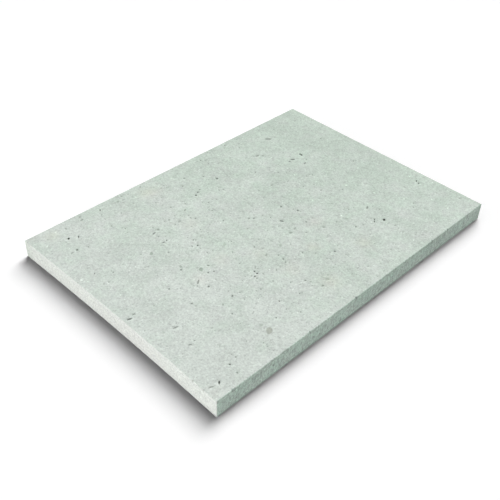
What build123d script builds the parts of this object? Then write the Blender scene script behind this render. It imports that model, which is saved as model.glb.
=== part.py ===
"""Fibre cement flat sheet: one sawn panel lying flat, smooth face up.

The length runs along X, the width along Y and the thickness along Z.
The origin is at the middle of the back face, which lies on Z = 0.
"""

import os

from build123d import *

# Driving dimensions, in millimetres
LENGTH = 297.0  # between the two short ends
WIDTH = 210.0  # between the two long sides
THICKNESS = 15.0  # between the back face and the smooth face
END_ARRIS = 1.2  # radius rubbed on the edges between the faces and the short ends
SIDE_ARRIS = 0.5  # radius left on the edges all round each long side


def long_section():
    """The sheet cut along its length: a thin rectangle with its end arrises rubbed round."""
    with BuildSketch(Plane.XZ) as section:
        with Locations((0, THICKNESS / 2)):
            RectangleRounded(LENGTH, THICKNESS, END_ARRIS)
    return section.sketch


def flat_sheet():
    """The long section carried across the width, with the crisper arrises of the sawn sides."""
    with BuildPart() as sheet:
        extrude(long_section(), amount=WIDTH / 2, both=True)
        sawn_sides = sheet.faces().filter_by(Axis.Y)
        fillet(sawn_sides.edges(), SIDE_ARRIS)
    return sheet.part


os.makedirs("parts", exist_ok=True)
export_step(flat_sheet(), "parts/fibre_cement_sheet.step")
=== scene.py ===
"""Fibre cement flat sheet, dressed for its photograph.

One closed mesh of the same size stands for the plain sheet: a pitted smooth face with painted shade in
its pits and a painted falloff of the light, worn and nicked arrises with painted highlight and painted
shade, sawn sides and a plain back. Lengths are in metres unless a name or comment says otherwise.
"""

import math
import random

import bpy
import numpy as np
from mathutils import Matrix, Vector, noise
from mathutils.geometry import delaunay_2d_cdt


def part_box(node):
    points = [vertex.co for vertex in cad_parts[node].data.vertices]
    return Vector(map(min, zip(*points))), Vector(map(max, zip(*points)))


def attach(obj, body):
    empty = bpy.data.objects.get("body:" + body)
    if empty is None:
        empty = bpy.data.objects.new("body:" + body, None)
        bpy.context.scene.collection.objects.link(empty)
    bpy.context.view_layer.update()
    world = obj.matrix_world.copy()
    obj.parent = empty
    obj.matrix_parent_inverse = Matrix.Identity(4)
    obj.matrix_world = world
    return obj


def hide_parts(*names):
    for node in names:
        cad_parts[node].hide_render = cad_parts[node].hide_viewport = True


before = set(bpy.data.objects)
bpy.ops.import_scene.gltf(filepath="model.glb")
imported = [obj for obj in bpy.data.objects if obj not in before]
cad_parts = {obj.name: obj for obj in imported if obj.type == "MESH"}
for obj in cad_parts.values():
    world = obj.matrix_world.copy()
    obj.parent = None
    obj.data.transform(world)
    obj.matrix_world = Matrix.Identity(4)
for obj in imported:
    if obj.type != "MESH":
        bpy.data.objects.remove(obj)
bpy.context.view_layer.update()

MM = 0.001
NODE = "fibre_cement_sheet"
LOW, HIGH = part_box(NODE)
LENGTH, WIDTH, THICKNESS = HIGH - LOW

# Radii of the sheet's arrises
END_ARRIS = 1.2 * MM  # far end
NEAR_ARRIS = 0.7 * MM  # near end
SIDE_ARRIS = 0.5 * MM  # long sides

# The photograph's camera, solved from the edges of the sheet
IMAGE_PX = 500
FOCAL_PX = 766.21
CAMERA_AZIMUTH = math.radians(-46.458)
CAMERA_ELEVATION = math.radians(39.794)
CAMERA_ROLL = math.radians(2.290)
CAMERA_PLACE = Vector((-0.35131, -0.32045, 0.38127))
SENSOR_WIDTH_MM = 36.0
CLIP_START = 0.01

# Marks of the smooth face, read from the photograph
# Pits: pixel across, pixel down, long and short size in pixels, lean in degrees, darkness of the shade
# painted in them
PITS = [
    (68.6, 238.6, 2.8, 1.9, 20, 0.85),
    (78.4, 236.9, 2.4, 1.7, 95, 0.60),
    (77.0, 250.1, 3.0, 2.0, 20, 0.42),
    (129.2, 319.3, 5.8, 1.9, 20, 0.50),
    (219.2, 382.7, 3.6, 2.0, 95, 0.72),
    (229.8, 364.5, 2.3, 1.5, 15, 0.60),
    (216.8, 178.6, 2.5, 1.8, 0, 0.50),
    (197.6, 192.2, 2.0, 1.4, 0, 0.50),
    (195.9, 195.2, 1.8, 1.3, 0, 0.74),
    (197.5, 245.4, 2.1, 1.7, 0, 0.50),
    (208.5, 286.6, 2.1, 1.8, 0, 0.50),
    (384.2, 219.8, 2.8, 2.2, -15, 0.88),
    (374.5, 219.5, 1.4, 1.2, 0, 0.68),
    (374.4, 221.6, 1.4, 1.2, 0, 0.70),
    (297.7, 210.6, 2.1, 1.8, 0, 0.46),
    (280.8, 206.6, 2.2, 1.6, 0, 0.44),
    (254.6, 271.4, 1.9, 1.5, 0, 0.60),
    (257.0, 273.5, 2.0, 1.6, 0, 0.66),
    (254.8, 276.4, 1.9, 1.4, 0, 0.64),
    (232.2, 296.0, 2.6, 1.9, 60, 0.40),
    (283.1, 259.1, 1.9, 1.7, 0, 0.42),
    (266.3, 255.2, 2.5, 1.9, 0, 0.22),
    (416.4, 180.9, 2.3, 1.5, 80, 0.58),
    (418.5, 183.4, 1.7, 1.4, 0, 0.50),
    (305.3, 280.5, 2.4, 1.3, -5, 0.50),
    (459.8, 198.3, 1.8, 1.2, -10, 0.26),
    (413.3, 203.3, 1.5, 1.3, 0, 0.28),
]
# Grooves left by fibres, as pits but long and shallow
GROOVES = [
    (300.9, 154.5, 4.3, 1.6, -25, 0.72),
    (292.6, 159.4, 5.2, 1.4, 2, 0.60),
    (289.7, 161.5, 2.6, 1.2, 5, 0.50),
    (304.8, 163.2, 3.2, 1.6, 35, 0.40),
    (175.6, 327.5, 7.0, 1.4, 27, 0.38),
    (72.4, 253.2, 4.2, 1.5, 30, 0.20),
    (211.5, 387.3, 7.0, 1.3, 14, 0.12),
    (133.3, 314.6, 4.6, 1.3, 25, 0.28),
    (117.2, 311.9, 3.4, 1.3, 10, 0.38),
    (198.1, 281.8, 5.4, 2.3, 72, 0.48),
    (281.6, 221.2, 4.6, 1.6, -8, 0.52),
    (268.0, 139.1, 8.0, 1.6, 2, 0.46),
    (267.6, 141.6, 3.6, 1.2, 0, 0.25),
    (257.4, 155.9, 3.8, 1.2, 30, 0.36),
    (262.6, 155.8, 3.0, 1.1, -10, 0.22),
    (249.0, 218.5, 2.4, 1.4, 20, 0.42),
    (253.8, 218.3, 2.4, 1.4, 10, 0.42),
    (190.1, 344.8, 4.0, 1.6, 10, 0.34),
    (191.6, 303.8, 3.0, 1.3, 30, 0.24),
    (334.7, 251.4, 2.6, 1.4, -5, 0.55),
    (81.8, 219.8, 3.6, 1.5, 30, 0.40),
    (79.6, 217.0, 2.4, 1.3, 10, 0.40),
    (353.3, 160.9, 2.6, 1.2, 85, 0.35),
    (367.3, 207.6, 3.6, 2.0, 60, 0.45),
    (153.9, 233.4, 3.8, 1.7, 40, 0.50),
    (158.0, 229.8, 3.6, 1.8, 5, 0.34),
    (163.6, 242.3, 3.4, 1.3, 10, 0.44),
    (181.0, 269.8, 2.8, 1.8, 0, 0.48),
    (290.9, 232.8, 4.2, 1.9, 8, 0.34),
    (295.0, 228.4, 3.6, 1.3, 50, 0.25),
    (179.6, 221.5, 3.6, 2.0, 20, 0.20),
    (323.6, 227.4, 2.6, 1.2, 5, 0.10),
    (327.5, 279.2, 4.6, 1.3, -5, 0.18),
    (219.7, 346.0, 4.0, 1.3, 85, 0.18),
]
# Small pits: pixel across, pixel down, darkness of the shade painted in them
SPECKS = [
    (69.6, 254.8, 0.60), (100.1, 210.0, 0.85), (101.3, 215.0, 0.25), (94.5, 273.5, 0.60),
    (113.2, 272.3, 0.45), (168.9, 289.0, 0.60), (184.9, 210.0, 0.62), (195.4, 218.6, 0.50),
    (169.0, 220.0, 0.50), (158.3, 236.6, 0.35), (166.4, 240.4, 0.58), (192.1, 246.2, 0.45),
    (193.2, 240.0, 0.55), (168.6, 252.4, 0.40), (223.3, 220.7, 0.42), (254.2, 246.9, 0.50),
    (278.3, 255.2, 0.45), (273.0, 281.1, 0.35), (290.6, 282.4, 0.40), (279.3, 301.2, 0.70),
    (232.2, 313.8, 0.60), (253.4, 312.4, 0.20), (276.1, 317.8, 0.55), (299.4, 293.4, 0.50),
    (208.5, 202.4, 0.40), (200.4, 160.4, 0.45), (170.7, 207.3, 0.40), (262.2, 215.3, 0.26),
    (355.9, 226.8, 0.60), (320.8, 138.6, 0.35), (321.0, 190.3, 0.38), (255.4, 172.4, 0.40),
    (224.8, 145.2, 0.45), (208.0, 272.6, 0.85), (213.9, 271.3, 0.50), (413.5, 207.4, 0.30),
    (306.0, 221.8, 0.50), (255.0, 267.0, 0.40), (251.4, 276.0, 0.40), (263.0, 273.6, 0.42),
    (257.0, 278.3, 0.42), (236.0, 259.0, 0.35), (239.5, 263.5, 0.32), (285.4, 262.2, 0.42),
    (276.5, 270.0, 0.32),
]
SPECK_PX = 1.7  # how wide a small pit looks, in pixels
# Flush stains: pixel across, pixel down, size across in pixels, tint
UMBER = (0.70, 0.69, 0.655)
MOSS = (0.62, 0.66, 0.62)
FAINT_MOSS = (0.80, 0.83, 0.80)
STAINS = [
    (269.5, 330.7, 7.6, UMBER),
    (201.0, 269.3, 5.0, MOSS),
    (180.6, 266.4, 3.0, MOSS),
    (151.4, 253.7, 4.0, MOSS),
    (261.0, 325.0, 4.5, FAINT_MOSS),
    (224.6, 244.1, 4.0, FAINT_MOSS),
    (280.2, 245.0, 4.0, FAINT_MOSS),
]
# Broad soft tints of the surface: pixel across, pixel down, size across in pixels, tint
ROSE = (1.020, 0.985, 0.985)
STRAW = (1.005, 0.985, 0.950)
DUST = (0.950, 0.930, 0.930)
HAZES = [
    (214.0, 392.0, 18.0, DUST),
    (31.0, 238.0, 14.0, DUST),
    (260.0, 254.0, 16.0, ROSE),
    (220.0, 259.0, 18.0, ROSE),
    (292.0, 269.0, 20.0, ROSE),
    (200.0, 279.0, 14.0, ROSE),
    (155.0, 191.0, 16.0, ROSE),
    (190.0, 224.0, 18.0, ROSE),
    (315.0, 222.0, 16.0, ROSE),
    (330.0, 281.0, 20.0, STRAW),
    (52.0, 236.0, 14.0, STRAW),
    (146.0, 193.0, 16.0, STRAW),
    (364.0, 242.0, 16.0, STRAW),
    (313.0, 247.0, 12.0, STRAW),
]
# White flecks: pixel across, pixel down, long and short size in pixels, lean in degrees, paleness
FLECKS = [
    (81.8, 279.8, 4.8, 2.2, 30, 0.42),
    (55.5, 232.5, 1.8, 1.4, 0, 0.20),
    (47.3, 246.0, 2.0, 1.6, 0, 0.30),
    (404.0, 198.8, 2.4, 1.8, 0, 0.38),
    (431.7, 199.2, 2.2, 1.3, 0, 0.42),
    (447.8, 208.1, 1.8, 1.5, 0, 0.40),
    (341.0, 215.4, 2.0, 1.6, 0, 0.48),
    (346.3, 185.4, 2.6, 1.3, 0, 0.42),
    (409.7, 176.3, 2.4, 1.3, -15, 0.22),
    (432.6, 182.4, 2.2, 1.4, 30, 0.34),
    (312.5, 200.2, 1.8, 1.5, 0, 0.32),
    (358.0, 168.0, 1.8, 1.4, 0, 0.30),
    (374.0, 192.4, 2.0, 1.4, 0, 0.32),
    (362.6, 184.4, 2.2, 1.3, 0, 0.18),
]
# Nicks in the upper arris: pixel across, pixel down
NICKS = [
    (232.1, 390.1), (311.0, 332.0), (355.3, 297.0), (432.7, 240.6), (448.0, 229.1), (280.6, 115.4),
    (203.7, 389.8), (193.0, 380.6),
]
# Broad soft tints of the near edges: pixel across, pixel down, reach in millimetres, tint; two of them
# are painted shade
# Painted shade where the near end turns its left corner
PAINTED_CORNER_SHADE = (0.88, 0.91, 0.88)
# Slightly darker and less green over the middle of the near end
NEAR_END_TINT = (0.990, 0.974, 0.984)
# Painted shade over the near long side towards its far end
PAINTED_SIDE_SHADE = (0.945, 0.940, 0.940)
EDGE_HAZES = [
    (27.0, 241.0, 6.0, PAINTED_CORNER_SHADE),
    (130.0, 328.0, 36.0, NEAR_END_TINT),
    (412.0, 256.0, 45.0, PAINTED_SIDE_SHADE),
]

PLAIN = (1.0, 1.0, 1.0)


def camera_axes():
    """The camera's own right, up and back directions."""
    back = Vector((
        math.sin(CAMERA_AZIMUTH) * math.cos(CAMERA_ELEVATION),
        -math.cos(CAMERA_AZIMUTH) * math.cos(CAMERA_ELEVATION),
        math.sin(CAMERA_ELEVATION)))
    level = Vector((math.cos(CAMERA_AZIMUTH), math.sin(CAMERA_AZIMUTH), 0))
    turn = Matrix.Rotation(CAMERA_ROLL, 3, back)
    return turn @ level, turn @ back.cross(level), back


def on_smooth_face(across, down):
    """The point of the smooth face, in millimetres, that shows at a pixel of the photograph."""
    right, up, back = camera_axes()
    ray = (across - IMAGE_PX / 2) * right - (down - IMAGE_PX / 2) * up - FOCAL_PX * back
    point = CAMERA_PLACE + ray * ((HIGH.z - CAMERA_PLACE.z) / ray.z)
    return np.array((point.x, point.y)) / MM


def haze(points, centre, reach, colour):
    """One soft tint at each point: the colour at its centre, plain beyond its reach."""
    near = np.exp(-((np.linalg.norm(points - centre, axis=1) / reach) ** 2))
    return 1 + near[:, None] * (np.array(colour) - 1)


# Edge of the sheet, in millimetres from here to the materials

COLUMN_STEP = 1.0  # along the edge between columns of the mesh
CORNER_COLUMNS = 5  # columns in the turn of a corner
INNER_TURN = 0.12  # radius of the flat faces' own corners
ARRIS_ROWS = 4
FACE_ROWS = 8
CORNER_KEPT = 2.0  # length beside a corner that stays unbroken
LEAST_ARRIS = 0.05  # what is left of the upper arris where it is crispest

NEAR_END = 3  # which of the four edges, anticlockwise from the near long side, is the near end
HOLLOW = 1.36  # how far the near end, sawn a little hollow, goes back at its middle
CRISP = 0.6  # how much narrower than its lower arris the near end's upper one is

NICK_HALF_WIDTH = 1.1
NICK_DEPTH = 0.8
NICK_SHADE = 0.4
SMALL_NICKS = 30
SMALL_NICK_HALF_WIDTHS = (0.8, 2.0)
SMALL_NICK_DEPTHS = (0.05, 0.25)

# Waves along the edge: how many to a millimetre, and where in the noise they are read
ARRIS_WAVES = [(0.35, 3.1), (0.09, 8.7)]
ARRIS_SWING = 0.2  # how far they move the upper arris, as a share of its radius
ARRIS_LEAST = -0.8  # where the waves are cut off below
# Patches of the ends' pale arris, partly rubbing and partly painted highlight
WORN_AND_HIGHLIT_WAVES = [(0.12, 6.4), (0.5, 1.9)]
WORN_AND_HIGHLIT_MEAN = 0.7
WORN_AND_HIGHLIT_SWING = 0.6
WORN_AND_HIGHLIT_LIMITS = (0.1, 1.2)

# Saw marks: waves to a millimetre along the edge and up it, and where in the noise they are read
SAW_MARKS = (0.8, 0.05, 1.7)
SAW_SWAYS = (0.15, 0.1, 4.2)
SAW_LEAN = 0.12  # how far a mark moves along the edge for each millimetre up
SAW_DEPTH = 0.09
# Painted shade on the long sides' upper arris
SAWN_ARRIS_SHADE = 0.1


def waves_along(lengths, kinds):
    """The sum of smooth random waves at each length along the edge."""
    return np.array([sum(noise.noise((s * rate, place, 0)) for rate, place in kinds) for s in lengths])


def wave_on_edge(along, up, kind):
    """A smooth random wave at a place of the edge."""
    rate_along, rate_up, place = kind
    return noise.noise((along * rate_along, up * rate_up, place))


def arrises_at(corner):
    """Radii of the end's and of the long side's arris at a corner of the sheet."""
    end = NEAR_ARRIS if corner[0] < 0 else END_ARRIS
    return np.array((end, SIDE_ARRIS)) / MM


def run_columns(steps):
    """Each column's share of an edge's length, and of the turn of the corner that ends it."""
    straight = [(share, 0.0) for share in np.linspace(0, 1, steps + 1)]
    return straight + [(1.0, q / CORNER_COLUMNS) for q in range(1, CORNER_COLUMNS)]


def hollow_at(run, share):
    """How far an edge goes back along X and Y at a share of its length."""
    back = HOLLOW * 4 * share * (1 - share) if run == NEAR_END else 0.0
    return (back, 0.0)


class Outline:
    """The columns of the edge, anticlockwise from the near corner."""

    def __init__(self):
        half = np.array((LENGTH, WIDTH)) / (2 * MM)
        turn = SIDE_ARRIS / MM
        corners = [np.array(c) for c in ((-1, -1), (1, -1), (1, 1), (-1, 1))]
        inner = [c * (half - arrises_at(c) - INNER_TURN) for c in corners]
        outer, inset, angles, runs, hollows = [], [], [], [], []
        for run, corner in enumerate(corners):
            ahead = (run + 1) % 4
            steps = round(float(np.abs((corners[ahead] - corner) * half).max()) / COLUMN_STEP)
            for share, turned in run_columns(steps):
                between = corner + (corners[ahead] - corner) * share
                outer.append(between * (half - turn))
                inset.append(inner[run] + (inner[ahead] - inner[run]) * share)
                angles.append(math.radians(90 * (run - 1 + turned)))
                runs.append(run)
                hollows.append(hollow_at(run, share))
        self.normal = np.column_stack((np.cos(angles), np.sin(angles)))
        self.end = self.normal[:, 0] ** 2
        self.near_end = self.end * (self.normal[:, 0] < 0)
        end_rise = END_ARRIS * (self.end - self.near_end) + NEAR_ARRIS * self.near_end
        self.rise = (end_rise + SIDE_ARRIS * (1 - self.end)) / MM
        self.outer = np.array(outer) + turn * self.normal + hollows
        self.inset = np.array(inset) + INNER_TURN * self.normal + hollows
        self.run = np.array(runs)
        gaps = np.linalg.norm(np.roll(self.outer, -1, axis=0) - self.outer, axis=1)
        self.along = np.concatenate(([0], np.cumsum(gaps)))
        self.from_corner = (half - np.abs(self.outer)).max(axis=1)

    def near(self, u, v, half_width):
        """One at the column that shows at a pixel, falling to nought on both sides of it."""
        along = self.along[:-1]
        middle = along[np.linalg.norm(self.outer - on_smooth_face(u, v), axis=1).argmin()]
        gap = np.abs(along - middle)
        return np.clip(1 - np.minimum(gap, self.along[-1] - gap) / half_width, 0, 1)

    def nicked(self):
        """How much of a nick from the list each column has, from nought to one."""
        return sum(self.near(u, v, NICK_HALF_WIDTH) for u, v in NICKS)

    def bites(self, draw):
        """How far the upper arris is rubbed or broken back at each column."""
        along = self.along[:-1]
        uneven = np.maximum(waves_along(along, ARRIS_WAVES), ARRIS_LEAST)
        bite = ARRIS_SWING * self.rise * uneven + NICK_DEPTH * self.nicked()
        for _ in range(SMALL_NICKS):
            gap = np.abs(along - draw.uniform(0, along[-1])) / draw.uniform(*SMALL_NICK_HALF_WIDTHS)
            bite += draw.uniform(*SMALL_NICK_DEPTHS) * np.clip(1 - gap, 0, 1)
        bite = bite * np.clip(self.from_corner / CORNER_KEPT - 1, 0, 1) - CRISP * self.near_end
        return np.maximum(bite, LEAST_ARRIS - self.rise)

    def wear_and_highlight(self):
        """How pale the arris is at each column, from chalky rubbing and from painted highlight: patchy
        at the ends, bare at the sides.
        """
        patches = WORN_AND_HIGHLIT_MEAN + WORN_AND_HIGHLIT_SWING * waves_along(self.along[:-1], WORN_AND_HIGHLIT_WAVES)
        return self.end * np.clip(patches, *WORN_AND_HIGHLIT_LIMITS) * (1 - self.nicked())

    def rows(self, bite):
        """The edge from just below the smooth face to just above the back, row by row."""
        top = THICKNESS / MM
        rise = self.rise + bite
        rim = self.inset - self.normal * bite[:, None]
        bends = [math.pi / 2 * k / ARRIS_ROWS for k in range(1, ARRIS_ROWS + 1)]
        rows = []
        for bend in bends:
            across = (self.outer - rim) * math.sin(bend)
            rows.append((rim + across, top - rise * (1 - math.cos(bend))))
        for k in range(1, FACE_ROWS):
            level = (top - rise) + (self.rise - (top - rise)) * k / FACE_ROWS
            rows.append((self.outer - self.normal * self.ripple(level)[:, None], level))
        for bend in reversed(bends):
            across = (self.outer - self.inset) * math.sin(bend)
            rows.append((self.inset + across, self.rise * (1 - math.cos(bend))))
        return [np.column_stack(row) for row in rows]

    def ripple(self, level):
        """The depth of the saw's marks at one level of the edge."""
        places = list(zip(self.along, level))
        marks = np.array([wave_on_edge(s + SAW_LEAN * z, z, SAW_MARKS) for s, z in places])
        sways = np.array([wave_on_edge(s, z, SAW_SWAYS) for s, z in places])
        return SAW_DEPTH * (0.5 + 0.5 * np.clip(marks + sways, -1, 1))

    def tints(self, arris):
        """The tint of each column, on the arris or below it: nicks are darker, the long sides' arrises
        are darker by painted shade, and the edge's broad tints add painted shade.
        """
        shades = 1 - (NICK_SHADE * self.nicked() + SAWN_ARRIS_SHADE * (1 - self.end)) * arris
        tint = np.repeat(shades[:, None], 3, axis=1)
        for u, v, reach, colour in EDGE_HAZES:
            tint *= haze(self.outer, on_smooth_face(u, v), reach, colour)
        return tint


# Marks of the smooth face as rings of points

RIM_MARGIN = 0.6  # width of the smooth face beside its arris that marks keep off
MARK_GAP = 0.1  # least width between two marks

# Corners of the marks' outlines, and how much each corner may swell
PIT_CORNERS = 12
FLECK_CORNERS = 10
SPECK_CORNERS = 8
STAIN_CORNERS = 14
SWELL = (0.8, 1.15)

PIT_DEPTH = 0.5  # of a wholly dark pit that looks one pixel wide
GROOVE_DEPTH = 0.25
SPECK_DEPTH = 0.4  # of a wholly dark small pit
SPECK_SHORT = 0.8  # short size of a small pit over its long one
WALL_FOOT = (0.82, 0.55)  # share of a pit's outline and of its depth at the foot of its wall
PIT_FLOOR = 0.45  # share of a pit's outline that its floor has
STAIN_CORE = 0.75  # share of a stain's outline that has its full tint
GREEN_SHADE = 0.97  # darkness of a pit in green over that in red and blue

# Tiny scattered pits and pale grains
SCATTERED = 1500
GRAIN_CORNERS = 6
GRAIN_CROWD = -0.3  # where along the length they crowd, from -1 to 1
GRAIN_LEAST = 0.16  # half width of the smallest
GRAIN_SPREAD = 0.45  # how much larger the largest is
GRAIN_LENGTHS = (1.0, 2.4)  # half length over half width
GRAIN_STRENGTHS = (0.12, 0.42)
GRAIN_DEPTH = 0.4  # depth of a tiny pit over its half width
PALE_SHARE = 0.4  # how many of them are pale grains
PALE_GAIN = 0.8


class Mark:
    """Rings round a place on the smooth face; each ring has a scale, a depth and a tint."""

    def __init__(self, points, rings):
        self.centre = points.mean(axis=0)
        self.shape = points - self.centre
        self.rings = rings
        self.reach = float(np.linalg.norm(self.shape, axis=1).max())


def oval_in_photo(u, v, long, short, lean, corners, draw):
    """An uneven oval seen in the photograph, laid on the smooth face."""
    turn = math.radians(lean)
    points = []
    for i in range(corners):
        angle = 2 * math.pi * i / corners
        swell = draw.uniform(*SWELL)
        a = long / 2 * math.cos(angle) * swell
        b = short / 2 * math.sin(angle) * swell
        across = u + a * math.cos(turn) - b * math.sin(turn)
        down = v - a * math.sin(turn) - b * math.cos(turn)
        points.append(on_smooth_face(across, down))
    return np.array(points)


def shade(darkness):
    """The painted shade of a pit, slightly greener than grey."""
    return (1 - darkness, 1 - GREEN_SHADE * darkness, 1 - darkness)


def pit_rings(depth, darkness):
    """Rings of a pit: its rim, the foot of its wall and its floor; the last two carry its painted
    shade.
    """
    foot, foot_depth = WALL_FOOT
    dark = shade(darkness)
    return [(1.0, 0.0, PLAIN), (foot, foot_depth * depth, dark), (PIT_FLOOR, depth, dark)]


def flush_rings(tint):
    """Rings of a stain or fleck, which has no depth."""
    return [(1.0, 0.0, PLAIN), (STAIN_CORE, 0.0, tint)]


def seen_marks(draw):
    """The marks that the photograph shows, the plainest first."""
    marks = []
    for u, v, long, short, lean, darkness in PITS:
        oval = oval_in_photo(u, v, long, short, lean, PIT_CORNERS, draw)
        marks.append(Mark(oval, pit_rings(PIT_DEPTH * short * darkness, darkness)))
    for u, v, long, short, lean, darkness in GROOVES:
        oval = oval_in_photo(u, v, long, short, lean, PIT_CORNERS, draw)
        marks.append(Mark(oval, pit_rings(GROOVE_DEPTH, darkness)))
    for u, v, long, short, lean, paleness in FLECKS:
        oval = oval_in_photo(u, v, long, short, lean, FLECK_CORNERS, draw)
        marks.append(Mark(oval, flush_rings((1 + paleness,) * 3)))
    for u, v, darkness in SPECKS:
        lean = draw.uniform(0, 180)
        oval = oval_in_photo(u, v, SPECK_PX, SPECK_PX * SPECK_SHORT, lean, SPECK_CORNERS, draw)
        marks.append(Mark(oval, pit_rings(SPECK_DEPTH * darkness, darkness)))
    for u, v, size, tint in STAINS:
        oval = oval_in_photo(u, v, size, size, 0, STAIN_CORNERS, draw)
        marks.append(Mark(oval, flush_rings(tint)))
    return apart([], marks)


def scattered_marks(draw, taken):
    """Tiny pits and pale grains that the photograph shows only as grain."""
    half = np.array((LENGTH, WIDTH)) / (2 * MM)
    angles = np.arange(GRAIN_CORNERS) * 2 * math.pi / GRAIN_CORNERS
    marks = []
    for _ in range(SCATTERED):
        centre = np.array((draw.triangular(-1, 1, GRAIN_CROWD), draw.uniform(-1, 1))) * half
        short = GRAIN_LEAST + GRAIN_SPREAD * draw.random() ** 3
        long = short * draw.uniform(*GRAIN_LENGTHS)
        turn = draw.uniform(0, math.pi)
        spin = np.array(((math.cos(turn), math.sin(turn)), (-math.sin(turn), math.cos(turn))))
        oval = np.column_stack((long * np.cos(angles), short * np.sin(angles))) @ spin
        strength = draw.uniform(*GRAIN_STRENGTHS)
        if draw.random() < PALE_SHARE:
            rings = flush_rings((1 + PALE_GAIN * strength,) * 3)
        else:
            rings = pit_rings(GRAIN_DEPTH * short, strength)
        marks.append(Mark(centre + oval, rings))
    return apart(taken, marks)


def apart(taken, marks):
    """The marks that overlap neither a mark taken before, nor each other, nor the arris."""
    high = np.array((LENGTH / 2 - END_ARRIS, WIDTH / 2 - SIDE_ARRIS)) / MM - RIM_MARGIN
    low = (HOLLOW, 0) - high
    kept = []
    for mark in marks:
        others = taken + kept
        gaps = [np.linalg.norm(o.centre - mark.centre) - o.reach - mark.reach for o in others]
        points = mark.centre + mark.shape
        inside = ((low < points) & (points < high)).all()
        if inside and min(gaps, default=math.inf) > MARK_GAP:
            kept.append(mark)
    return kept


def hazes(points):
    """The broad soft tints at each point of the smooth face."""
    tint = np.ones((len(points), 3))
    for u, v, size, colour in HAZES:
        centre = on_smooth_face(u, v)
        radius = np.linalg.norm(on_smooth_face(u + size / 2, v) - centre)
        tint *= haze(points, centre, radius, colour)
    return tint


# Mesh of the whole sheet

SEED = 4
GRID_STEP = 3.0  # between the plain points of the smooth face
BACK_STEP = 12.0  # between the plain points of the back
SHAKE = 0.3  # how far a plain point moves off its place, as a share of the step
MARK_CLEAR = 0.4  # least width between a plain point and a mark
RELIEF = 0.05  # gentle waves of the smooth face
MEAN_DIP = 0.5  # how far the smooth face lies below the rim, as a share of the relief
FACE_WAVES = [(22, 0.3, 0.3), (9, 5.3, 0.15)]  # length, where in the noise, share of the relief
DENT = 2 * RELIEF  # what is deeper is a pit, with sharp faces
INSIDE_ONLY = 1  # asks for the triangles inside the outline
MERGE_WITHIN = 1e-6
PROFILE_COLUMN = 10  # a column of a long side, whose heights the texture sheet has
SMOOTH_FACE, SAWN_SIDE, RUBBED_END, BACK_FACE = range(4)

# Places of the faces on the texture sheet, whose side is 1: left, bottom and size of a millimetre
FACE_SCALE = 1 / 331
SMOOTH_PATCH = (0.003, 0.003, FACE_SCALE)
RUN_PATCHES = [(0.003, 0.645), (0.907, 0.003), (0.003, 0.700), (0.954, 0.003)]
BACK_PATCH = (0.003, 0.755, 1 / 870)


class Skin:
    """Points and faces of the sheet as they are put together."""

    def __init__(self):
        self.points, self.tints, self.worn_and_highlit = [], [], []
        self.faces, self.kinds, self.uvs, self.smooth = [], [], [], []

    def add_points(self, points, tints, worn_and_highlit):
        start = len(self.points)
        self.points += [tuple(p) for p in points]
        self.tints += [tuple(t) for t in tints]
        self.worn_and_highlit += list(worn_and_highlit)
        return list(range(start, len(self.points)))

    def add_face(self, face, kind, uvs, smooth=True):
        self.faces.append(list(face))
        self.kinds.append(kind)
        self.uvs += uvs
        self.smooth.append(smooth)


def grid_points(step, half, draw):
    """Evenly spread, shaken points inside a rectangle."""
    points = []
    for x in np.arange(-half[0] + step, half[0] - step / 2, step):
        for y in np.arange(-half[1] + step, half[1] - step / 2, step):
            aside = draw.uniform(-SHAKE, SHAKE) * step
            ahead = draw.uniform(-SHAKE, SHAKE) * step
            points.append((x + aside, y + ahead))
    return np.array(points)


def triangulate(points, loops):
    """Triangles over the points inside the first loop, keeping every loop's edges."""
    edges = [(loop[i - 1], loop[i]) for loop in loops for i in range(len(loop))]
    places = [Vector(p) for p in points]
    found, _, faces, origins, _, _ = delaunay_2d_cdt(places, edges, [], INSIDE_ONLY, MERGE_WITHIN)
    if len(found) != len(points):
        raise RuntimeError("marks of the smooth face cross each other")
    return [[origins[i][0] for i in face] for face in faces]


def flat_uvs(points, face, patch):
    """Where the corners of a flat face lie on the texture sheet."""
    left, bottom, scale = patch
    half = np.array((LENGTH, WIDTH)) / (2 * MM)
    start = np.array((left, bottom))
    return [tuple(start + scale * (np.array(points[i]) + half)) for i in face]


def wave(point):
    """How far the smooth face dips at a point."""
    x, y = point
    dip = MEAN_DIP
    for length, place, share in FACE_WAVES:
        dip += share * noise.noise((x / length, y / length, place))
    return RELIEF * dip


def plain_points(rim, marks, draw):
    """Points of the smooth face between its marks."""
    plain = grid_points(GRID_STEP, np.abs(rim).max(axis=0), draw)
    centres = np.array([m.centre for m in marks])
    reach = np.array([m.reach for m in marks])
    gaps = np.linalg.norm(plain[:, None] - centres[None], axis=2) - reach
    return plain[gaps.min(axis=1) > MARK_CLEAR]


def add_smooth_face(skin, rim, marks, draw):
    """The smooth face with all its marks; returns its rim."""
    plain = plain_points(rim, marks, draw)
    flat = [tuple(p) for p in rim] + [tuple(p) for p in plain]
    drop = [0.0] * len(rim) + [wave(p) for p in plain]
    tints = [PLAIN] * len(flat)
    loops = [list(range(len(rim)))]
    for mark in marks:
        for scale, depth, tint in mark.rings:
            loops.append(list(range(len(flat), len(flat) + len(mark.shape))))
            flat += [tuple(p) for p in mark.centre + mark.shape * scale]
            drop += [wave(mark.centre) + depth] * len(mark.shape)
            tints += [tint] * len(mark.shape)
    places = [(x, y, THICKNESS / MM - d) for (x, y), d in zip(flat, drop)]
    ids = skin.add_points(places, np.array(tints) * hazes(np.array(flat)), [0.0] * len(flat))
    for face in triangulate(flat, loops):
        dented = any(drop[i] > DENT for i in face)
        uvs = flat_uvs(flat, face, SMOOTH_PATCH)
        skin.add_face([ids[i] for i in face], SMOOTH_FACE, uvs, not dented)
    return ids[:len(rim)]


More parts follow.
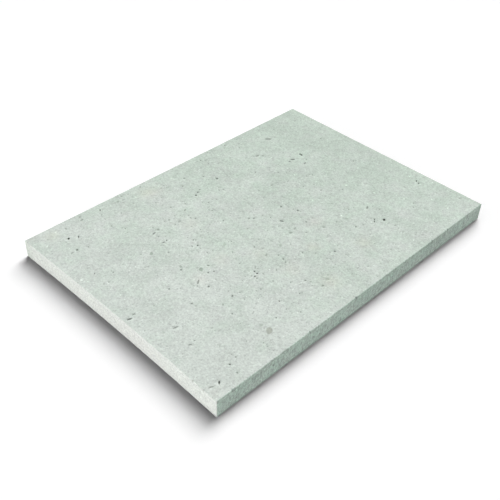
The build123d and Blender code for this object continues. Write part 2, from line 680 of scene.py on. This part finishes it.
def add_edge(skin, outline, bite, upper, lower):
    """The four edges between the smooth face's rim and the back's rim."""
    rings = [upper]
    for number, row in enumerate(outline.rows(bite)):
        arris = number < ARRIS_ROWS
        rings.append(skin.add_points(row, outline.tints(arris), outline.wear_and_highlight() * arris))
    rings.append(lower)
    profile = np.array([skin.points[ring[PROFILE_COLUMN]] for ring in rings])
    down = np.concatenate(([0], np.cumsum(np.linalg.norm(np.diff(profile, axis=0), axis=1))))
    count = len(upper)
    for level, (above, below) in enumerate(zip(rings, rings[1:])):
        for i in range(count):
            j = (i + 1) % count
            run = outline.run[i]
            first = outline.along[:-1][outline.run == run][0]
            ends = (outline.along[i] - first, outline.along[i + 1] - first)
            kind = RUBBED_END if run % 2 else SAWN_SIDE
            corners = [(ends[0], down[level]), (ends[0], down[level + 1]),
                       (ends[1], down[level + 1]), (ends[1], down[level])]
            skin.add_face((above[i], below[i], below[j], above[j]), kind, edge_uvs(corners, run))


def edge_uvs(corners, run):
    """Where the corners of an edge's face lie on the texture sheet; the ends stand upright there."""
    left, bottom = RUN_PATCHES[run]
    if run % 2:
        corners = [(down, along) for along, down in corners]
    return [(left + FACE_SCALE * a, bottom + FACE_SCALE * b) for a, b in corners]


def add_back(skin, rim, draw):
    """The plain back; returns its rim."""
    plain = grid_points(BACK_STEP, np.abs(rim).max(axis=0), draw)
    flat = [tuple(p) for p in np.concatenate((rim, plain))]
    ids = skin.add_points([(x, y, 0.0) for x, y in flat], [PLAIN] * len(flat), [0.0] * len(flat))
    for face in triangulate(flat, [list(range(len(rim)))]):
        face = face[::-1]
        skin.add_face([ids[i] for i in face], BACK_FACE, flat_uvs(flat, face, BACK_PATCH))
    return ids[:len(rim)]


def build_skin():
    """The closed skin of the whole sheet."""
    draw = random.Random(SEED)
    outline = Outline()
    bite = outline.bites(draw)
    marks = seen_marks(draw)
    marks += scattered_marks(draw, marks)
    skin = Skin()
    upper = add_smooth_face(skin, outline.inset - outline.normal * bite[:, None], marks, draw)
    lower = add_back(skin, outline.inset, draw)
    add_edge(skin, outline, bite, upper, lower)
    return skin


def add_sheet(materials):
    """The dressed sheet as an object, with its marks, painted shade, and its arrises' worn paleness
    and painted highlight kept on its points.
    """
    skin = build_skin()
    mesh = bpy.data.meshes.new("dressed_sheet")
    mesh.from_pydata([tuple(MM * c for c in p) for p in skin.points], [], skin.faces)
    for material in materials:
        mesh.materials.append(material)
    mesh.polygons.foreach_set("material_index", skin.kinds)
    mesh.polygons.foreach_set("use_smooth", skin.smooth)
    tint = mesh.attributes.new("mark_tint", "FLOAT_COLOR", "POINT")
    tint.data.foreach_set("color", [c for t in skin.tints for c in (*t, 1.0)])
    worn_and_highlit = mesh.attributes.new("worn_and_highlit", "FLOAT", "POINT")
    worn_and_highlit.data.foreach_set("value", skin.worn_and_highlit)
    layout = mesh.uv_layers.new(name="OFBake")
    layout.data.foreach_set("uv", [c for uv in skin.uvs for c in uv])
    mesh.validate()
    sheet = bpy.data.objects.new("dressed_sheet", mesh)
    bpy.context.scene.collection.objects.link(sheet)
    return sheet


# Materials

# Linear colours of the sheet
GREEN_GREY = (0.592, 0.688, 0.608)
ROSE_GREY = (0.654, 0.711, 0.664)
SAWN_GREEN = (0.580, 0.732, 0.636)
SAWN_GREY = (0.622, 0.732, 0.655)
DUSTY_GREEN = (0.678, 0.722, 0.673)
DUSTY_GREY = (0.703, 0.722, 0.681)
# Pale colour of the ends' upper arris: partly chalky rubbing, partly painted highlight
WORN_AND_HIGHLIT = (0.76, 0.79, 0.75)
WORN_AND_HIGHLIT_COVER = 0.6

# Size of each noise of the cement, and how strongly it changes the tone
FINE_SIZE = 1.5 * MM
FINE_TONE = 0.52
SAND_SIZE = 0.9 * MM
SAND_TONE = 15.0  # large, because the noise is cubed to leave only its few peaks
COARSE_SIZE = 3.6 * MM
COARSE_TONE = 0.23
PATCH_SIZE = 9 * MM
PATCH_TONE = 0.12
CLOUD_SIZE = 30 * MM
CLOUD_TONE = 0.24

# Fibres: size and stretch of a dash, the noise from which it shows and is whole, angles and tones
FIBRE_SIZE = 1.7 * MM
FIBRE_STRETCH = (4, 1, 1)
FIBRE_RAMP = (0.10, 0.25)
FIBRES = [(0.5, 0.06), (-0.6, -0.08), (1.5, -0.06)]

# Sawn faces: size of the streaks, the noise of open pores, and each face's tone, stretch and turn
STREAK_SIZE = 1.3 * MM
PORE_RAMP = (0.08, 0.2)
SIDE_SAW = (1.15, (1, 1, 4), (0, 0.1, 0))
END_SAW = (0.06, (1, 5, 1), (0, 0, 0))

HUE_SIZE = 14 * MM
HUE_SWING = 2.2
DRIFT_WAY = (0.8 / LENGTH, 0.3 / WIDTH, 0)  # from the near end, mostly along the length
# Painted shade: the tone darkens away from the near end as the light falls off
PAINTED_DRIFT_SHADE = 0.07

ROUGHNESS = 0.82
ROUGHNESS_SWING = 0.2
GRAIN_RELIEF = 0.12 * MM
SPECULAR = 0.25


class Tree:
    """The node tree of a material or world, with a short call for each kind of node."""

    def __init__(self, owner):
        owner.use_nodes = True
        self.nodes = owner.node_tree.nodes
        self.links = owner.node_tree.links
        self.nodes.clear()

    def add(self, kind, settings=None, inputs=None):
        node = self.nodes.new(kind)
        for key, value in (settings or {}).items():
            setattr(node, key, value)
        for key, value in (inputs or {}).items():
            if isinstance(value, bpy.types.NodeSocket):
                self.links.new(value, node.inputs[key])
            else:
                node.inputs[key].default_value = value
        return node

    def place(self):
        """The point of the object that is shaded."""
        return self.add("ShaderNodeTexCoord").outputs["Object"]

    def seen(self):
        """One where the camera looks, also by mirror or through glass, nought where light bounces."""
        path = self.add("ShaderNodeLightPath").outputs
        mirrored = self.math("MAXIMUM", path["Is Glossy Ray"], path["Is Transmission Ray"])
        return self.math("MAXIMUM", path["Is Camera Ray"], mirrored)

    def noise(self, size, detail, stretch=(1, 1, 1), turn=(0, 0, 0), shift=0.0):
        """Noise about nought, with features of about the given size, stretched along turned axes."""
        mapping = self.add("ShaderNodeMapping", {"vector_type": "TEXTURE"}, {
            "Vector": self.place(),
            "Location": (shift, shift, shift),
            "Rotation": turn,
            "Scale": stretch,
        })
        found = self.add("ShaderNodeTexNoise", inputs={
            "Vector": mapping.outputs["Vector"], "Scale": 1 / size, "Detail": detail})
        return self.math("SUBTRACT", found.outputs["Fac"], 0.5)

    def fibres(self, angle):
        """Short thin dashes that lie at an angle on the face, from nought to one."""
        dashes = self.noise(FIBRE_SIZE, detail=1, stretch=FIBRE_STRETCH, turn=(0, 0, angle))
        return self.above(dashes, *FIBRE_RAMP)

    def above(self, value, low, high):
        """Nought below the low value, one above the high value."""
        return self.add("ShaderNodeMapRange", inputs={
            "Value": value, "From Min": low, "From Max": high}).outputs["Result"]

    def math(self, operation, a, b=0.0, c=0.0):
        return self.add("ShaderNodeMath", {"operation": operation}, {0: a, 1: b, 2: c}).outputs[0]

    def tone(self, parts):
        """One plus the sum of each noise times its strength."""
        total = 1.0
        for value, strength in parts:
            total = self.math("MULTIPLY_ADD", value, strength, total)
        return total

    def mix(self, factor, a, b):
        """Two colours mixed, by the node's sockets for colours."""
        node = self.add("ShaderNodeMix", {"data_type": "RGBA"}, {0: factor, 6: a, 7: b})
        return node.outputs[2]

    def times(self, colour, other):
        node = self.add("ShaderNodeVectorMath", {"operation": "MULTIPLY"}, {0: colour, 1: other})
        return node.outputs[0]

    def scale(self, colour, factor):
        node = self.add("ShaderNodeVectorMath", {"operation": "SCALE"}, {
            0: colour, "Scale": factor})
        return node.outputs[0]

    def attribute(self, name, output):
        return self.add("ShaderNodeAttribute", {"attribute_name": name}).outputs[output]

    def finish(self, colour, roughness, height):
        bump = self.add("ShaderNodeBump", inputs={
            "Strength": 1.0, "Distance": GRAIN_RELIEF, "Height": height})
        shader = self.add("ShaderNodeBsdfPrincipled", inputs={
            "Base Color": colour, "Roughness": roughness, "Normal": bump.outputs["Normal"],
            "Specular IOR Level": SPECULAR})
        self.add("ShaderNodeOutputMaterial", inputs={"Surface": shader.outputs["BSDF"]})


def grain_parts(tree, fine, coarse, grain, cloud):
    """The noises of the cement and its fibres, each with its strength."""
    sand = tree.math("POWER", tree.noise(SAND_SIZE, detail=1, shift=0.2), 3)
    parts = [
        (fine, FINE_TONE * grain),
        (sand, SAND_TONE * grain),
        (coarse, COARSE_TONE * cloud),
        (tree.noise(PATCH_SIZE, detail=3, shift=0.5), PATCH_TONE * cloud),
        (tree.noise(CLOUD_SIZE, detail=2, shift=0.4), CLOUD_TONE * cloud),
    ]
    return parts + [(tree.fibres(angle), strength * grain) for angle, strength in FIBRES]


def saw_parts(tree, saw, pores):
    """The streaks of a sawn face and its open pores, if it has them, each with its strength."""
    strength, stretch, turn = saw
    streaks = tree.noise(STREAK_SIZE, detail=3, stretch=stretch, turn=turn, shift=0.9)
    parts = [(streaks, strength)]
    if pores:
        parts.append((tree.above(streaks, *PORE_RAMP), -pores))
    return parts


def cement(name, green, grey, grain=1.0, cloud=1.0, drift=0.0, saw=None, pores=0.0):
    """Pressed fibre cement: two close tints in clouds, a fine grain, sand and short fibres.

    Saw gives the strength, stretch and turn of a sawn face's streaks, and pores how dark its open
    pores are. Drift is how far the tint moves to green along the length, and how far it darkens there
    as painted shade of the light falling off.
    """
    material = bpy.data.materials.new(name)
    tree = Tree(material)
    fine = tree.noise(FINE_SIZE, detail=2, shift=0.7)
    coarse = tree.noise(COARSE_SIZE, detail=3, shift=0.1)
    parts = grain_parts(tree, fine, coarse, grain, cloud)
    if saw:
        parts += saw_parts(tree, saw, pores)
    clouds = tree.noise(HUE_SIZE, detail=3, shift=0.3)
    hue = tree.math("MULTIPLY_ADD", clouds, HUE_SWING * cloud, 0.5)
    # Drift moves the tint to green and, as painted shade, darkens it away from the near end
    if drift:
        far = tree.add("ShaderNodeVectorMath", {"operation": "DOT_PRODUCT"}, {
            0: tree.place(), 1: DRIFT_WAY}).outputs["Value"]
        hue = tree.math("MULTIPLY_ADD", far, -drift, hue)
        parts.append((far, -PAINTED_DRIFT_SHADE * drift))
    colour = tree.mix(hue, (*green, 1), (*grey, 1))
    colour = tree.scale(colour, tree.tone(parts))
    colour = tree.times(colour, tree.attribute("mark_tint", "Color"))
    # The ends' upper arris is paled by rubbing and by painted highlight
    pale = tree.math("MULTIPLY", tree.attribute("worn_and_highlit", "Fac"), WORN_AND_HIGHLIT_COVER)
    colour = tree.mix(pale, colour, (*WORN_AND_HIGHLIT, 1))
    roughness = tree.math("MULTIPLY_ADD", coarse, ROUGHNESS_SWING, ROUGHNESS)
    tree.finish(colour, roughness, fine)
    return material


# Studio

FLOOR_HALF = 6.0
FLOOR_GAP = 0.02 * MM  # keeps the floor clear of the back
FLOOR_SEEN = 1.12  # what the camera sees: white where no shadow falls
FLOOR_BOUNCE = 0.3  # what throws light back at the sheet
WORLD_AMBIENT = 0.03

# Wide soft sources overhead: lean to +X and to +Y in degrees, width in degrees, strength
OVERHEAD = [(20.5, 9, 31, 1.135), (46.5, 22, 37, 2.145), (-50, 26, 64, 0.47)]

# Low fills before the near faces: name, strength, place and target
FILLS = [
    ("left_fill", 3.5, (-0.75, -0.04, 0.012), (-0.15, -0.02, 0.008)),
    ("right_fill", 1.40, (0.0, -0.70, 0.012), (0.05, -0.10, 0.008)),
]
FILL_WIDTH = 0.6
FILL_HEIGHT = 0.02


def add_camera():
    """The photograph's camera."""
    right, up, back = camera_axes()
    data = bpy.data.cameras.new("photograph")
    data.sensor_width = SENSOR_WIDTH_MM
    data.lens = FOCAL_PX / IMAGE_PX * SENSOR_WIDTH_MM
    data.clip_start = CLIP_START
    camera = bpy.data.objects.new("photograph", data)
    turn = Matrix((right, up, back)).transposed().to_4x4()
    camera.matrix_world = Matrix.Translation(CAMERA_PLACE) @ turn
    bpy.context.scene.collection.objects.link(camera)
    bpy.context.scene.camera = camera


def add_floor():
    """A white floor that shows the sheet's shadow and is pure white where no shadow falls."""
    mesh = bpy.data.meshes.new("floor")
    h = FLOOR_HALF
    mesh.from_pydata([(-h, -h, 0), (h, -h, 0), (h, h, 0), (-h, h, 0)], [], [(0, 1, 2, 3)])
    floor = bpy.data.objects.new("floor", mesh)
    floor.location.z = LOW.z - FLOOR_GAP
    bpy.context.scene.collection.objects.link(floor)
    material = bpy.data.materials.new("floor_white")
    tree = Tree(material)
    colour = tree.mix(tree.seen(), (FLOOR_BOUNCE,) * 3 + (1,), (FLOOR_SEEN,) * 3 + (1,))
    diffuse = tree.add("ShaderNodeBsdfDiffuse", inputs={"Color": colour})
    tree.add("ShaderNodeOutputMaterial", inputs={"Surface": diffuse.outputs["BSDF"]})
    mesh.materials.append(material)


def add_world():
    """A world that looks white and lights the sheet only a little."""
    world = bpy.data.worlds.new("studio")
    tree = Tree(world)
    strength = tree.add("ShaderNodeMapRange", inputs={
        "Value": tree.seen(), "To Min": WORLD_AMBIENT, "To Max": 1.0})
    background = tree.add("ShaderNodeBackground", inputs={
        "Color": (1, 1, 1, 1), "Strength": strength.outputs["Result"]})
    tree.add("ShaderNodeOutputWorld", inputs={"Surface": background.outputs["Background"]})
    bpy.context.scene.world = world


def add_light(name, kind, strength, place, target, **settings):
    data = bpy.data.lights.new(name, kind)
    data.energy = strength
    # A bounced ray must not meet a lamp through the sheet, which such rays don't see
    data.cycles.use_multiple_importance_sampling = False
    for key, value in settings.items():
        setattr(data, key, value)
    light = bpy.data.objects.new(name, data)
    light.location = place
    light.rotation_euler = (Vector(target) - Vector(place)).to_track_quat("-Z", "Y").to_euler()
    light.visible_camera = False
    bpy.context.scene.collection.objects.link(light)


def add_lights():
    """Soft light from above and behind, and two low fills before the near faces."""
    for lean_x, lean_y, width, strength in OVERHEAD:
        place = (math.tan(math.radians(lean_x)), math.tan(math.radians(lean_y)), 1.0)
        add_light("overhead", "SUN", strength, place, (0, 0, 0), angle=math.radians(width))
    for name, strength, place, target in FILLS:
        add_light(name, "AREA", strength, place, target,
                  shape="RECTANGLE", size=FILL_WIDTH, size_y=FILL_HEIGHT)


bpy.context.scene.view_settings.view_transform = "Standard"
sheet = add_sheet([
    cement("smooth_face", GREEN_GREY, ROSE_GREY, drift=1.1),
    cement("sawn_side", SAWN_GREEN, SAWN_GREY, grain=1.6, saw=SIDE_SAW, pores=0.35),
    cement("rubbed_end", DUSTY_GREEN, DUSTY_GREY, grain=1.25, cloud=0.35, saw=END_SAW),
    cement("back_face", GREEN_GREY, ROSE_GREY),
])
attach(sheet, "root")
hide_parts(NODE)
sheet.visible_diffuse = False  # the pale end throws no light into the shadow, as in the photograph
add_camera()
add_floor()
add_world()
add_lights()
